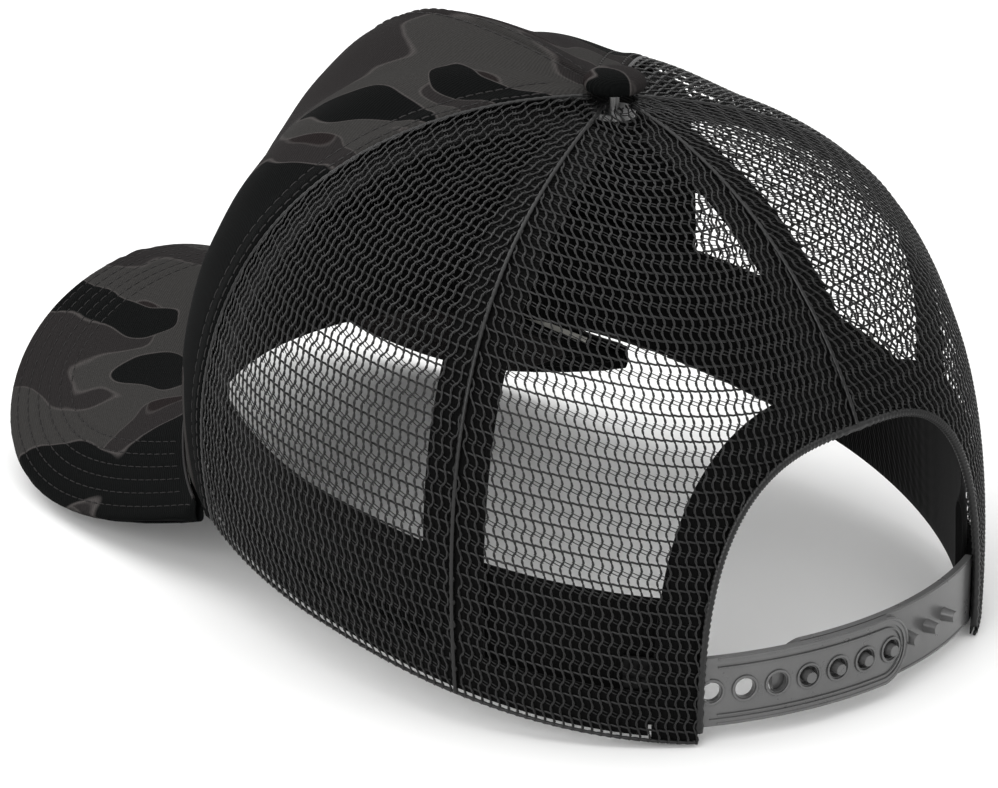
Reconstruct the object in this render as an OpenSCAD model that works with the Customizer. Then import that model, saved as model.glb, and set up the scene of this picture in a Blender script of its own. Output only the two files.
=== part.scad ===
// Trucker mesh cap, millimetres. Front and brim point to -Y, the wearer's left is +X, up is +Z.
// The origin lies on the floor under the middle of the head opening.

/* [Crown] */
// Half width of the crown at its lower edge
crown_half_width = 84; // [80:0.5:88]
// Half length of the crown at its lower edge
crown_half_length = 98.5; // [94:0.5:104]
// Height of the button above the floor
crown_height = 123.5; // [118:0.5:130]
// Height of the crown's lower edge above the floor at the front
front_lift = 35.5; // [30:0.5:38]
// Distance of the button behind the middle of the head opening
button_back = 8.5; // [4:0.5:12]
// Angle from the centre front to each front seam
front_seam_angle = 64.5; // [60:0.5:68]
// Angle from the centre front to each side seam
side_seam_angle = 111; // [106:1:116]

/* [Back opening] */
// Angle from the centre back to the opening's left edge
opening_left_angle = 32.5; // [31:0.5:34]
// Angle from the centre back to the opening's right edge
opening_right_angle = 27.5; // [26:0.5:29]
// Height of the opening, measured along the crown
opening_height = 66.5; // [58:0.5:72]
// Width of the binding round the opening
binding_width = 12; // [9:0.5:14]

/* [Bands and tapes] */
// Height of the sweatband
sweatband_height = 33; // [28:1:38]
// Width of the seam tapes
tape_width = 13; // [10:0.5:14]
// Height of the folded mesh hem
hem_height = 9; // [7:0.5:11]

/* [Brim] */
// Length of the brim at its middle
brim_length = 62; // [58:1:70]
// Angle from the centre front to each end of the brim
brim_end_angle = 58; // [54:1:62]
// Radius that the brim is bent to
brim_bend_radius = 87.7; // [86:0.1:94]
// Thickness of the stiff brim board
brim_board_thickness = 1.8; // [1.4:0.1:2.2]

/* [Snap closure] */
// Distance between snap holes along the strap
snap_pitch = 8; // [7.6:0.1:8.2]
// Width of the straps
strap_width = 16.5; // [15:0.5:17]
// Thickness of each strap
strap_thickness = 1.6; // [1.4:0.1:1.6]
// Radius of the snap holes
hole_radius = 2.3; // [2.2:0.1:2.6]
// Radius of the pegs at their base
peg_radius = 1.7; // [1.5:0.1:1.8]
// Height of the middle of the straps above the floor
strap_height = 12.8; // [11.5:0.1:14]

/* [Button] */
// Radius of the crown button
button_radius = 7; // [6:0.5:8]

/* [Hidden] */

// Plan of the crown's lower edge: a superellipse, a little squarer than an ellipse.
plan_power = 2.2;
// How fast the lower edge rises from the back to the front.
lift_power = 1.3;
// Each meridian is a rational quadratic curve from the lower edge to the button.
// [angle, outward pull, upward pull, weight] of its middle control point, from front to back.
meridian_keys = [
  [0, 0.86, 1.235, 1.77],
  [30, 0.90, 1.16, 1.18],
  [60, 1.22, 1.08, 0.76],
  [90, 1.29, 0.875, 1.05],
  [135, 1.03, 0.84, 1.37],
  [180, 1.045, 0.885, 0.80]
];
meridian_samples = 48;
opening_power = 3;

// Depths of the layers below the crown's outer face.
panel_in = [0, 0.8];
backing_in = [1.1, 2.7];
mesh_in = [0.2, 1.1];
tape_in = [1.3, 1.9];
front_tape_in = [3.0, 3.6];
hem_in = [1.3, 1.9];
binding_in = [1.5, 1.95];
tab_in = [2.15, 3.75];
band_in = [4.3, 6.3];
// Distance left open round the button at the top of the panels.
top_gap = 5;
seam_gap = 0.15;

// Brim: its upper face bends about an axis that falls slightly to the front.
brim_side_power = 3.7;
brim_front_power = 2.95;
brim_tilt = 4.4;
brim_mid_height = 44.8;
brim_bend_gain = 0.474;
brim_gain_length = 70;
// The seam on the crown lies this far above the lower edge at the middle and at the ends.
brim_root_rise = [4, -1.2];
brim_root_gap = 0.5;
brim_end_width = 0.6;
cover_thickness = 0.65;
brim_layer_gap = 0.1;
brim_columns = 36;
brim_rows = 12;

// Straps: arcs about one vertical axis, the hole strap outside the peg strap.
strap_centre = [-3, 0.3];
hole_strap_outer = 96;
strap_gap = 0.4;
hole_count = 7;
peg_count = 7;
first_hole_arc = -49;
first_peg_index = 3;
peg_height = 3.1;
peg_tip_radius = 1.3;
left_root_angle = 58.5;
right_root_angle = 113.8;
// Angles from the opening's edge to each tab's end.
tab_gap_left = 1.1;
tab_gap_right = 1.4;
groove_depth = 0.3;
groove_inset = 1.6;
tab_length = 20;
tip_ease = 0.05;
// The hole strap's rounded end is centred this far before its last hole.
tip_back = 2.2;

button_height = 4.2;
button_lift = 0.9;
fine = 96;

// ---- Shared geometry ----

function signed_power(v, p) = sign(v) * pow(abs(v), p);
function smooth(v) = v * v * (3 - 2 * v);
function mix(a, b, f) = a * (1 - f) + b * f;
function side_angle(th) = abs(th) > 180 ? 360 - abs(th) : abs(th);

// Lower edge of the crown at angle th from the front, at depth d below the outer face.
function rim(th, d) = [
  (crown_half_width - d) * signed_power(sin(th), 2 / plan_power),
  -(crown_half_length - d) * signed_power(cos(th), 2 / plan_power),
  front_lift * pow((1 + cos(th)) / 2, lift_power)
];

// Control values of the meridian at angle th, between the keys on each side of it.
function control(th) =
  let (
    a = side_angle(th),
    passed = len([for (key = meridian_keys) if (key[0] <= a) key]),
    k = min(passed - 1, len(meridian_keys) - 2),
    start = meridian_keys[k][0],
    f = smooth((a - start) / (meridian_keys[k + 1][0] - start))
  )
  mix(meridian_keys[k], meridian_keys[k + 1], f);

// Point of the crown at angle th and curve value t, at depth d.
function crown_at(th, t, d) =
  let (
    c = control(th),
    b0 = pow(1 - t, 2),
    b1 = 2 * t * (1 - t) * c[3],
    b2 = t * t,
    out = (b0 + b1 * c[1]) / (b0 + b1 + b2),
    rise = (b1 * c[2] + b2) / (b0 + b1 + b2),
    r = rim(th, d)
  )
  [
    r.x * out,
    button_back + (r.y - button_back) * out,
    r.z + (crown_height - d - r.z) * rise
  ];

// Lengths along the outer meridian at angle th, as [length, curve value] pairs.
function meridian(th, k = 0, length = 0, made = []) =
  k > meridian_samples ? made :
  let (
    t = k / meridian_samples,
    before = (max(k, 1) - 1) / meridian_samples,
    step = k == 0 ? 0 : norm(crown_at(th, t, 0) - crown_at(th, before, 0))
  )
  meridian(th, k + 1, length + step, concat(made, [[length + step, t]]));

function meridian_length(th) = meridian(th)[meridian_samples][0];

// Point at a turn of the opening's edge: turn 0 is the left foot, 90 the top and 180 the right foot.
// Returns [angle from the front, height along the crown], grown outward by the distance g.
function opening_turn(turn, g = 0) =
  let (
    half = turn < 90 ? opening_left_angle : opening_right_angle,
    wide = half + g / 1.65,
    tall = opening_height + g
  )
  [
    180 - wide * signed_power(cos(turn), 2 / opening_power),
    tall * pow(sin(turn), 2 / opening_power)
  ];

// ---- Solids from grids of points ----

// Closed solid between two grids of the same size, rows of columns.
module grid_solid(outer, inner) {
  rows = len(outer);
  cols = len(outer[0]);
  count = rows * cols;
  points = concat([for (row = outer) each row], [for (row = inner) each row]);
  function at(i, j) = i * cols + j;
  faces = concat(
    [for (i = [0 : rows - 2], j = [0 : cols - 2]) each [
      [at(i, j), at(i, j + 1), at(i + 1, j + 1)],
      [at(i, j), at(i + 1, j + 1), at(i + 1, j)],
      [count + at(i, j), count + at(i + 1, j + 1), count + at(i, j + 1)],
      [count + at(i, j), count + at(i + 1, j), count + at(i + 1, j + 1)]
    ]],
    [for (j = [0 : cols - 2]) each [
      [at(0, j), count + at(0, j), count + at(0, j + 1)],
      [at(0, j), count + at(0, j + 1), at(0, j + 1)],
      [at(rows - 1, j), at(rows - 1, j + 1), count + at(rows - 1, j + 1)],
      [at(rows - 1, j), count + at(rows - 1, j + 1), count + at(rows - 1, j)]
    ]],
    [for (i = [0 : rows - 2]) each [
      [at(i, 0), at(i + 1, 0), count + at(i + 1, 0)],
      [at(i, 0), count + at(i + 1, 0), count + at(i, 0)],
      [at(i, cols - 1), count + at(i, cols - 1), count + at(i + 1, cols - 1)],
      [at(i, cols - 1), count + at(i + 1, cols - 1), at(i + 1, cols - 1)]
    ]]
  );
  polyhedron(points, faces);
}

// One column of a patch: heights h along the meridian at angle th, at depth d.
function column(th, heights, d) =
  let (table = meridian(th))
  [for (h = heights) crown_at(th, lookup(h, table), d)];

// Patch of the crown between two angles. low and high give the heights at angle th.
module crown_patch(from, to, cols, rows, depth, low, high) {
  angles = [for (j = [0 : cols]) mix(from, to, j / cols)];
  spans = [for (th = angles) let (a = low(th), b = high(th)) [for (i = [0 : rows]) mix(a, b, i / rows)]];
  grid_solid(
    [for (j = [0 : cols]) column(angles[j], spans[j], depth[0])],
    [for (j = [0 : cols]) column(angles[j], spans[j], depth[1])]
  );
}

// Strip of the crown with its sides at a fixed distance from the angle th, from height low to high.
// It narrows towards the button, where the seams meet.
module seam_strip(th, low, high, rows, depth, width) {
  table = meridian(th);
  heights = [for (i = [0 : rows]) mix(low, high, i / rows)];
  reach = [for (h = heights) let (p = crown_at(th, lookup(h, table), 0)) norm([p.x, p.y - button_back])];
  function half_angle(i) = min(width / 2 / reach[i] * 180 / PI, 28);
  function line(d, f) = [
    for (i = [0 : rows]) crown_at(th + f * half_angle(i), lookup(heights[i], table), d)
  ];
  grid_solid([for (f = [-1, 0, 1]) line(depth[0], f)], [for (f = [-1, 0, 1]) line(depth[1], f)]);
}

// ---- Crown pieces ----

panel_top = function (th) meridian_length(th) - top_gap;
panel_foot = function (th) 0;

module front_panel() {
  reach = front_seam_angle - seam_gap;
  color([0.13, 0.125, 0.125])
    crown_patch(-reach, reach, 28, 22, panel_in, panel_foot, panel_top);
}

module front_backing() {
  reach = front_seam_angle - 5;
  color([0.08, 0.08, 0.08])
    crown_patch(-reach, reach, 24, 20, backing_in, function (th) 1, function (th) panel_top(th) - 6);
}

module dart_tape() {
  color([0.07, 0.07, 0.07])
    seam_strip(0, 38, panel_top(0) - 8, 18, front_tape_in, tape_width);
}

module side_mesh(side) {
  from = front_seam_angle + seam_gap;
  to = side_seam_angle - seam_gap;
  color([0.1, 0.1, 0.1])
    mirror([side < 0 ? 1 : 0, 0, 0])
      crown_patch(from, to, 14, 18, mesh_in, panel_foot, panel_top);
}

module side_mesh_left() {
  side_mesh(1);
}

module side_mesh_right() {
  side_mesh(-1);
}

// Back panel: its lower border runs along the hem and then up round the opening.
module back_mesh(side) {
  cols_low = 8;
  cols_arch = 12;
  rows = 16;
  start = side_seam_angle + seam_gap;
  foot = 180 - (side > 0 ? opening_left_angle : opening_right_angle);
  border = concat(
    [for (j = [0 : cols_low - 1]) [mix(start, foot, j / cols_low), 0]],
    [for (j = [0 : cols_arch])
      let (turn = 90 * j / cols_arch, e = opening_turn(side > 0 ? turn : 180 - turn))
      [min(side > 0 ? e[0] : 360 - e[0], 180 - seam_gap), e[1]]]
  );
  last = len(border) - 1;
  lines = [
    for (j = [0 : last])
      let (
        b = border[j],
        top_angle = mix(start, 180 - seam_gap, j / last),
        top = meridian_length(top_angle) - top_gap
      )
      [for (i = [0 : rows])
        let (f = i / rows)
        [mix(b[0], top_angle, smooth(f)), mix(b[1], top, f)]]
  ];
  color([0.1, 0.1, 0.1])
    mirror([side < 0 ? 1 : 0, 0, 0])
      grid_solid(
        [for (line = lines) [for (p = line) crown_at(p[0], lookup(p[1], meridian(p[0])), mesh_in[0])]],
        [for (line = lines) [for (p = line) crown_at(p[0], lookup(p[1], meridian(p[0])), mesh_in[1])]]
      );
}

module back_mesh_left() {
  back_mesh(1);
}

module back_mesh_right() {
  back_mesh(-1);
}

module front_tape(side) {
  angle = side * (front_seam_angle + 1);
  color([0.05, 0.05, 0.05])
    seam_strip(angle, 1, panel_top(angle) - 8, 18, front_tape_in, tape_width);
}

module front_tape_left() {
  front_tape(1);
}

module front_tape_right() {
  front_tape(-1);
}

module side_tape(side) {
  angle = side * side_seam_angle;
  color([0.05, 0.05, 0.05])
    seam_strip(angle, hem_height + 0.5, panel_top(angle) - 8, 18, tape_in, tape_width);
}

module side_tape_left() {
  side_tape(1);
}

module side_tape_right() {
  side_tape(-1);
}

module back_tape() {
  color([0.05, 0.05, 0.05])
    seam_strip(180, opening_height + binding_width + 0.5, panel_top(180) - 8, 10, tape_in, tape_width);
}

// Binding that follows the whole edge of the opening, from foot to foot.
module opening_binding() {
  turns = 36;
  across = 3;
  lines = [
    for (j = [0 : turns])
      let (
        turn = 180 * j / turns,
        inside = opening_turn(turn, 0.3),
        outside = opening_turn(turn, binding_width)
      )
      [for (i = [0 : across])
        let (p = mix(inside, outside, i / across))
        [p[0], max(p[1], 0.5)]]
  ];
  color([0.09, 0.09, 0.09])
    grid_solid(
      [for (line = lines) [for (p = line) crown_at(p[0], lookup(p[1], meridian(p[0])), binding_in[0])]],
      [for (line = lines) [for (p = line) crown_at(p[0], lookup(p[1], meridian(p[0])), binding_in[1])]]
    );
}

module mesh_hem(side, opening_angle) {
  from = front_seam_angle + 5;
  to = 180 - opening_angle - binding_width / 1.65 - 0.5;
  color([0.1, 0.1, 0.1])
    mirror([side < 0 ? 1 : 0, 0, 0])
      crown_patch(from, to, 20, 2, hem_in, function (th) 0, function (th) hem_height);
}

module mesh_hem_left() {
  mesh_hem(1, opening_left_angle);
}

module mesh_hem_right() {
  mesh_hem(-1, opening_right_angle);
}

module sweatband() {
  from = -(180 - opening_right_angle - 1.5);
  to = 180 - opening_left_angle - 1.5;
  color([0.06, 0.06, 0.065])
    crown_patch(from, to, 64, 4, band_in, function (th) 0.5, function (th) sweatband_height);
}

// ---- Brim ----

// Height of the bent brim's upper face over a point of the plan.
function brim_height(x, y) =
  let (
    reach = -(y + crown_half_length) / brim_gain_length,
    sag = brim_bend_radius - sqrt(pow(brim_bend_radius, 2) - x * x)
  )
  brim_mid_height + (y + crown_half_length) * tan(brim_tilt)
    - sag * (1 + brim_bend_gain * reach) / cos(brim_tilt);

brim_end = rim(brim_end_angle, -brim_root_gap);
brim_half_width = brim_end.x + brim_end_width;

// Upper face of the brim: u runs from -1 at the right to 1 at the left, v from the crown to the edge.
function brim_face(u, v) =
  let (
    root = rim(u * brim_end_angle, -brim_root_gap),
    edge_x = brim_half_width * signed_power(sin(90 * u), 2 / brim_side_power),
    edge_y = brim_end.y - (crown_half_length + brim_length + brim_end.y)
      * pow(cos(90 * u), 2 / brim_front_power),
    x = mix(root.x, edge_x, v),
    y = mix(root.y, edge_y, v),
    ending = smooth(min(max((abs(u) - 0.55) / 0.4, 0), 1)),
    rise = mix(brim_root_rise[0], brim_root_rise[1], ending),
    miss = root.z + rise - brim_height(root.x, root.y)
  )
  [x, y, brim_height(x, y) + miss * pow(1 - v, 2)];

// Unit normal of the bent surface over a point of the plan.
function brim_normal(x, y) =
  let (
    reach = -(y + crown_half_length) / brim_gain_length,
    level = sqrt(pow(brim_bend_radius, 2) - x * x),
    across = x / level * (1 + brim_bend_gain * reach) / cos(brim_tilt),
    along = tan(brim_tilt)
      + (brim_bend_radius - level) * brim_bend_gain / brim_gain_length / cos(brim_tilt),
    n = [across, -along, 1]
  )
  n / norm(n);

// Layer of the brim between two heights above the upper face. The insets hold it back from
// the outer edge, from the seam on the crown and from both ends.
module brim_layer(top, bottom, edge_inset, root_inset, end_inset) {
  // Even steps of the edge's angle leave the front open, so the steps are eased to the middle.
  ease = function (k) let (s = 2 * k / brim_columns - 1) signed_power(s, 1.5);
  us = [for (k = [0 : brim_columns]) ease(k) * (1 - end_inset / brim_half_width)];
  vs = [for (k = [0 : brim_rows])
    mix(root_inset / brim_length, 1 - edge_inset / brim_length, k / brim_rows)];
  function at(u, v, h) = let (p = brim_face(u, v)) p + brim_normal(p.x, p.y) * h;
  grid_solid(
    [for (u = us) [for (v = vs) at(u, v, top)]],
    [for (u = us) [for (v = vs) at(u, v, bottom)]]
  );
}

module brim_top_cover() {
  color([0.13, 0.125, 0.125])
    brim_layer(0, -cover_thickness, 0, 0, 0);
}

module brim_board() {
  top = -cover_thickness - brim_layer_gap;
  color([0.85, 0.85, 0.82])
    brim_layer(top, top - brim_board_thickness, 1.5, 2, 8);
}

module brim_under_cover() {
  top = -cover_thickness - brim_board_thickness - 2 * brim_layer_gap;
  color([0.12, 0.115, 0.115])
    brim_layer(top, top - cover_thickness, 0, 1.4, 0);
}

// ---- Button ----

module at_button() {
  translate([0, button_back, crown_height + button_lift]) children();
}

module button_cover() {
  shell = 0.6;
  color([0.12, 0.115, 0.115])
    at_button()
      rotate_extrude($fn = fine)
        polygon([
          [button_radius - 1.2, 0.6],
          [button_radius, 0.6],
          [button_radius + 0.2, button_height * 0.55],
          [button_radius - 0.9, button_height - 0.2],
          [button_radius * 0.5, button_height + 0.5],
          [0, button_height + 0.7],
          [0, button_height + 0.7 - shell],
          [button_radius * 0.5, button_height + 0.5 - shell],
          [button_radius - 1.2, button_height - 0.7]
        ]);
}

module button_core() {
  color([0.6, 0.6, 0.62])
    at_button()
      difference() {
        translate([0, 0, 0.7])
          cylinder(r = button_radius - 1.4, h = button_height - 1.6, $fn = fine);
        cylinder(r = 1.3, h = button_height - 1.5, $fn = fine);
      }
}

module button_rivet() {
  color([0.6, 0.6, 0.62])
    at_button()
      translate([0, 0, -5.6])
        cylinder(r = 1.2, h = 5.6 + button_height - 1.6, $fn = fine);
}

module button_back_cap() {
  color([0.3, 0.3, 0.3])
    at_button()
      difference() {
        translate([0, 0, -6])
          cylinder(r = 5, h = 1.4, $fn = fine);
        translate([0, 0, -5.6])
          cylinder(r = 1.3, h = 2, $fn = fine);
      }
}

// ---- Snap closure ----

// Angle about the strap axis of hole or peg number k.
function snap_angle(k) = 90 + (first_hole_arc + k * snap_pitch) / hole_strap_outer * 180 / PI;

peg_strap_outer = hole_strap_outer - strap_thickness - strap_gap;

module strap_frame() {
  translate([strap_centre.x, strap_centre.y, strap_height]) children();
}

// Upright ring slice between two angles about the strap axis.
module ring_slice(outer, thickness, width, from, to) {
  rotate([0, 0, from])
    rotate_extrude(angle = to - from, $fn = 4 * fine)
      translate([outer - thickness, -width / 2])
        square([thickness, width]);
}

// Cylinder that points outward from the strap axis at the given angle.
module radial_cylinder(angle, from, to, r1, r2) {
  rotate([0, 0, angle])
    translate([from, 0, 0])
      rotate([0, 90, 0])
        cylinder(r1 = r1, r2 = r2, h = to - from, $fn = fine);
}

// Strap with one rounded end at tip_angle.
module strap_blank(outer, thickness, width, root_angle, tip_angle) {
  way = tip_angle > root_angle ? 1 : -1;
  end = tip_angle + way * width / outer * 180 / PI;
  intersection() {
    ring_slice(outer, thickness, width, min(root_angle, end), max(root_angle, end));
    union() {
      ring_slice(outer + 1, thickness + 2, width + 2,
        min(root_angle - way, tip_angle), max(root_angle - way, tip_angle));
      radial_cylinder(tip_angle, outer - thickness - 3, outer + 3,
        width / 2 + tip_ease, width / 2 + tip_ease);
    }
  }
}

module hole_strap() {
  tip = snap_angle(hole_count - 1) - tip_back / hole_strap_outer * 180 / PI;
  color([0.07, 0.07, 0.072])
    strap_frame()
      difference() {
        strap_blank(hole_strap_outer, strap_thickness, strap_width, left_root_angle, tip);
        strap_blank(hole_strap_outer + 1, 1 + groove_depth, strap_width - 2 * groove_inset,
          left_root_angle + 2, tip);
        for (k = [0 : hole_count - 1])
          radial_cylinder(snap_angle(k), hole_strap_outer - 4, hole_strap_outer + 2,
            hole_radius, hole_radius);
      }
}

module peg_strap() {
  tip = snap_angle(first_peg_index);
  color([0.07, 0.07, 0.072])
    strap_frame() {
      strap_blank(peg_strap_outer, strap_thickness, strap_width, right_root_angle, tip);
      for (k = [first_peg_index : first_peg_index + peg_count - 1])
        radial_cylinder(snap_angle(k), peg_strap_outer - 0.5, peg_strap_outer + peg_height,
          peg_radius, peg_tip_radius);
    }
}

// Sewn end of a strap, flat against the inside of the crown.
module strap_tab(side, opening_angle, gap) {
  edge = 180 - opening_angle + 0.5;
  span = tab_length / 1.65;
  low = strap_height - strap_width / 2 - 1;
  color([0.07, 0.07, 0.072])
    mirror([side < 0 ? 1 : 0, 0, 0])
      crown_patch(edge - span, edge - gap, 8, 2, tab_in,
        function (th) low, function (th) low + strap_width);
}

module hole_strap_tab() {
  strap_tab(1, opening_left_angle, tab_gap_left);
}

module peg_strap_tab() {
  strap_tab(-1, opening_right_angle, tab_gap_right);
}

// Box of stitches that fastens a tab, as short upright threads on its inner face.
module tab_stitches(side, opening_angle) {
  stitches = 6;
  thread = 0.35;
  near = tab_in[1] + 0.08;
  edge = 180 - opening_angle - 3;
  low = strap_height - strap_width / 2 + 1;
  color([0.12, 0.12, 0.12])
    mirror([side < 0 ? 1 : 0, 0, 0])
      for (k = [0 : stitches - 1])
        crown_patch(edge - 1.4 * k - thread, edge - 1.4 * k, 1, 1, [near, near + thread],
          function (th) low, function (th) low + strap_width - 4);
}

module hole_strap_stitches() {
  tab_stitches(1, opening_left_angle);
}

module peg_strap_stitches() {
  tab_stitches(-1, opening_right_angle);
}

front_panel();
front_backing();
dart_tape();
side_mesh_left();
side_mesh_right();
back_mesh_left();
back_mesh_right();
front_tape_left();
front_tape_right();
side_tape_left();
side_tape_right();
back_tape();
opening_binding();
mesh_hem_left();
mesh_hem_right();
sweatband();
brim_board();
brim_top_cover();
brim_under_cover();
button_cover();
button_core();
button_rivet();
button_back_cap();
hole_strap_tab();
hole_strap();
peg_strap_tab();
peg_strap();
hole_strap_stitches();
peg_strap_stitches();
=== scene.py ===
"""Trucker mesh cap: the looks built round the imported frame.

Lengths in the shape functions are millimetres and angles are degrees; meshes are made in metres.
The front and the brim point to -Y, the wearer's left is +X, up is +Z.
Angles run round the crown from the centre front. Heights are lengths along the crown from its lower edge.
"""
import math

import bpy
import numpy as np
from mathutils import Matrix, Vector


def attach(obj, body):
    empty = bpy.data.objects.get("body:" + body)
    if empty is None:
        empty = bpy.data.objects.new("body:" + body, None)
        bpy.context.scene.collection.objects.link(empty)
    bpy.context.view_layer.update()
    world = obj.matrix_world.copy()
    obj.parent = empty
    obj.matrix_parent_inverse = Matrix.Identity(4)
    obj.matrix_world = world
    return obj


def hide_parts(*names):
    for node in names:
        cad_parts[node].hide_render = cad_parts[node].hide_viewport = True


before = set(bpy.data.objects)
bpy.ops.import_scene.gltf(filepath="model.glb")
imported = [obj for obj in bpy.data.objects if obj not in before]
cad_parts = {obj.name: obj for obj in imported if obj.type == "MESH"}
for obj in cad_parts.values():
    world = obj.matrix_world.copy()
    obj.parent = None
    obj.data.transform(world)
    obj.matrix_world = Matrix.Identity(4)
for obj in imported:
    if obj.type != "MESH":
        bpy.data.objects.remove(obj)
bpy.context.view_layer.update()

MM = 0.001

# ---- Shape of the crown ----

HALF_WIDTH, HALF_LENGTH = 84.0, 98.5
CROWN_HEIGHT, FRONT_LIFT, BUTTON_BACK = 123.5, 35.5, 8.5
PLAN_POWER, LIFT_POWER = 2.2, 1.3
KEY_ANGLES = np.array([0.0, 30.0, 60.0, 90.0, 135.0, 180.0])
MERIDIAN_KEYS = np.array([
    [0.86, 1.235, 1.77], [0.90, 1.16, 1.18], [1.22, 1.08, 0.76],
    [1.29, 0.875, 1.05], [1.03, 0.84, 1.37], [1.045, 0.885, 0.80],
])
FRONT_SEAM, SIDE_SEAM = 64.5, 111.0
OPENING_LEFT, OPENING_RIGHT, OPENING_HEIGHT, OPENING_POWER = 32.5, 27.5, 66.5, 3.0
BINDING_WIDTH, SWEATBAND_HEIGHT, HEM_HEIGHT, TAPE_WIDTH, TOP_GAP = 12.0, 33.0, 9.0, 13.0, 5.0
# The folded hem starts above the edge and reaches this far past its CAD height.
HEM_FOOT, HEM_EXTRA = 1.1, 2.6
FLOOR_Z = 0.6


def signed_power(v, p):
    return np.sign(v) * np.abs(v) ** p


def smooth(f):
    f = np.clip(f, 0.0, 1.0)
    return f * f * (3 - 2 * f)


def rim(theta, depth=0.0):
    """Lower edge of the crown at an angle, at a depth below the outer face."""
    a = np.radians(theta)
    return (
        (HALF_WIDTH - depth) * signed_power(np.sin(a), 2 / PLAN_POWER),
        -(HALF_LENGTH - depth) * signed_power(np.cos(a), 2 / PLAN_POWER),
        FRONT_LIFT * ((1 + np.cos(a)) / 2) ** LIFT_POWER,
    )


def side_angle(theta):
    side = np.abs(theta)
    return np.where(side > 180, 360 - side, side)


def crown_at(theta, t, depth=0.0):
    """Point of the crown at an angle and a curve value."""
    theta, t = np.broadcast_arrays(np.asarray(theta, float), np.asarray(t, float))
    side = side_angle(theta)
    k = np.clip(np.searchsorted(KEY_ANGLES, side, side="right") - 1, 0, len(KEY_ANGLES) - 2)
    f = smooth((side - KEY_ANGLES[k]) / (KEY_ANGLES[k + 1] - KEY_ANGLES[k]))[..., None]
    pull = MERIDIAN_KEYS[k] * (1 - f) + MERIDIAN_KEYS[k + 1] * f
    b0, b1, b2 = (1 - t) ** 2, 2 * t * (1 - t) * pull[..., 2], t * t
    total = b0 + b1 + b2
    out, rise = (b0 + b1 * pull[..., 0]) / total, (b1 * pull[..., 1] + b2) / total
    x, y, z = rim(theta, depth)
    return np.stack(
        [x * out, BUTTON_BACK + (y - BUTTON_BACK) * out, z + (CROWN_HEIGHT - depth - z) * rise], -1
    )


SIDES = np.arange(0, 181, 1.0)
CURVE = np.linspace(0, 1, 401)
_line = crown_at(SIDES[:, None], CURVE[None, :])
_steps = np.linalg.norm(np.diff(_line, axis=1), axis=2)
_length = np.concatenate([np.zeros((len(SIDES), 1)), np.cumsum(_steps, axis=1)], axis=1)
MERIDIAN = _length[:, -1]
CURVE_OF = np.array([np.interp(CURVE * m, row, CURVE) for m, row in zip(MERIDIAN, _length)])


def bilinear(table, row, col):
    """Value of a table at fractional row and column."""
    row = np.clip(row, 0, table.shape[0] - 1.0001)
    col = np.clip(col, 0, table.shape[1] - 1.0001)
    i, j = row.astype(int), col.astype(int)
    f, g = row - i, col - j
    return (
        table[i, j] * (1 - f) * (1 - g) + table[i + 1, j] * f * (1 - g)
        + table[i, j + 1] * (1 - f) * g + table[i + 1, j + 1] * f * g
    )


def meridian_length(theta):
    return np.interp(side_angle(theta), SIDES, MERIDIAN)


def on_crown(theta, height):
    """Point of the crown's outer face at an angle and a height along it."""
    theta, height = np.broadcast_arrays(np.asarray(theta, float), np.asarray(height, float))
    share = height / meridian_length(theta)
    t = bilinear(CURVE_OF, side_angle(theta), share * (len(CURVE) - 1))
    return crown_at(theta, t)


def skin(theta, height, out):
    """Point at a distance outward from the crown's outer face."""
    da, dh = 0.15, 0.3
    height = np.maximum(height, 0.0)
    across = on_crown(theta + da, height) - on_crown(theta - da, height)
    up = on_crown(theta, height + dh) - on_crown(theta, np.maximum(height - dh, 0.0))
    n = np.cross(across, up)
    n /= np.maximum(np.linalg.norm(n, axis=-1, keepdims=True), 1e-9)
    return on_crown(theta, height) + n * np.asarray(out)[..., None]


class Panel:
    """Flat coordinates of one crown panel: x across from the angle centre, y up from the lower edge."""

    def __init__(self, start, stop, centre):
        self.heights = np.arange(0, 176, 2.0)
        angles = np.arange(start - 4, stop + 4.01, 0.25)
        pts = on_crown(angles[None, :], np.minimum(self.heights[:, None], meridian_length(angles) - 1.0))
        step = np.linalg.norm(np.diff(pts, axis=1), axis=2)
        arc = np.concatenate([np.zeros((len(self.heights), 1)), np.cumsum(step, axis=1)], axis=1)
        middle = np.array([np.interp(centre, angles, row) for row in arc])
        self.arc = arc - middle[:, None]
        self.angles = angles
        self.xs = np.arange(-110, 110.1, 0.5)
        self.theta = np.array([np.interp(self.xs, row, angles) for row in self.arc])

    def angle(self, x, y):
        return bilinear(self.theta, np.asarray(y) / 2.0, (np.asarray(x) + 110) / 0.5)

    def across(self, theta, y):
        return bilinear(self.arc, np.asarray(y) / 2.0, (np.asarray(theta) - self.angles[0]) / 0.25)

    def place(self, flat):
        return skin(self.angle(flat[..., 0], flat[..., 1]), flat[..., 1], flat[..., 2])


# ---- Shape of the brim ----

BRIM_LENGTH, BRIM_END = 62.0, 58.0
BEND_RADIUS, BEND_GAIN, GAIN_LENGTH = 87.7, 0.474, 70.0
BRIM_TILT, BRIM_MID = math.radians(4.4), 44.8
SIDE_POWER, FRONT_POWER = 3.7, 2.95
ROOT_RISE, ROOT_GAP, END_WIDTH = (4.0, -1.2), 0.5, 0.6
COVER, BOARD, LAYER_GAP = 0.65, 1.8, 0.1


def brim_height(x, y):
    reach = -(y + HALF_LENGTH) / GAIN_LENGTH
    sag = BEND_RADIUS - np.sqrt(BEND_RADIUS**2 - x * x)
    return (
        BRIM_MID + (y + HALF_LENGTH) * math.tan(BRIM_TILT)
        - sag * (1 + BEND_GAIN * reach) / math.cos(BRIM_TILT)
    )


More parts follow.
